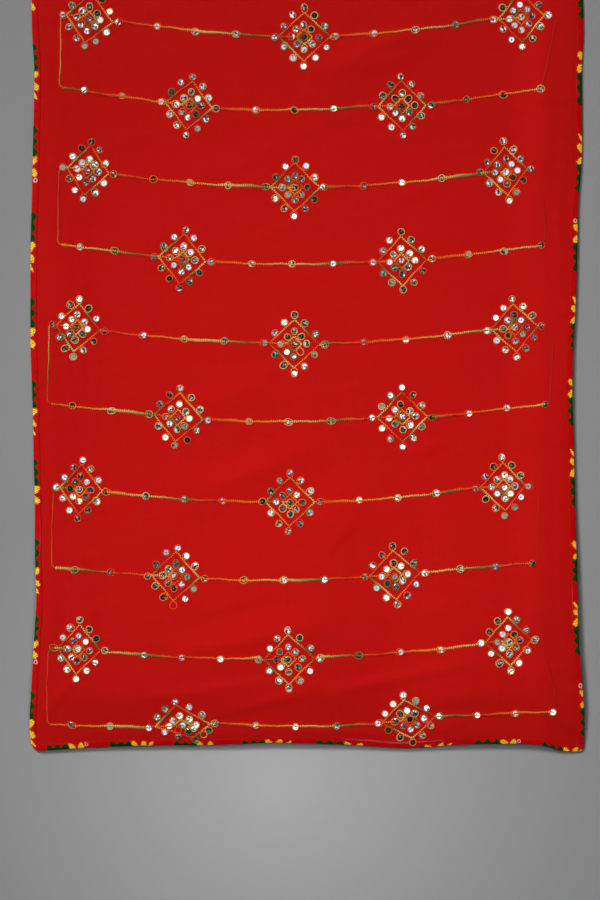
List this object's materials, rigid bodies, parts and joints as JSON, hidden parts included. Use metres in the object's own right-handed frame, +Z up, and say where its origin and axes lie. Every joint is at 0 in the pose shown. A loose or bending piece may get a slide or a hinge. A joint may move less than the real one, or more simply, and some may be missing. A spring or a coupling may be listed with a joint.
{
  "type": "embroidered dupatta",
  "caption": "Long rectangular veil cloth lying flat, with a narrow folded printed binding on its four edges and rows of small mirrored discs worked into diamonds.",
  "frame": {"origin": "middle of the overall box across and along, on the surface that the cloth lies on", "axes": "+X across the cloth to the right seen from its face, +Y along its length away from the end that the picture shows, +Z up out of its face"},
  "size_m": [0.9265, 2.3397, 0.025],
  "materials": {
    "cloth": "matt crepe, plain deep red",
    "binding": "matt cotton, bright red with a repeat of green leaves and yellow petals",
    "thread": "satin embroidery thread, shaded from red through orange and gold to green",
    "sequin": "mirrored disc"
  },
  "bodies": {
    "root": {"panel": "cloth", "binding_left": "binding", "binding_right": "binding", "binding_lower": "binding", "binding_upper": "binding"}
  },
  "joints": []
}
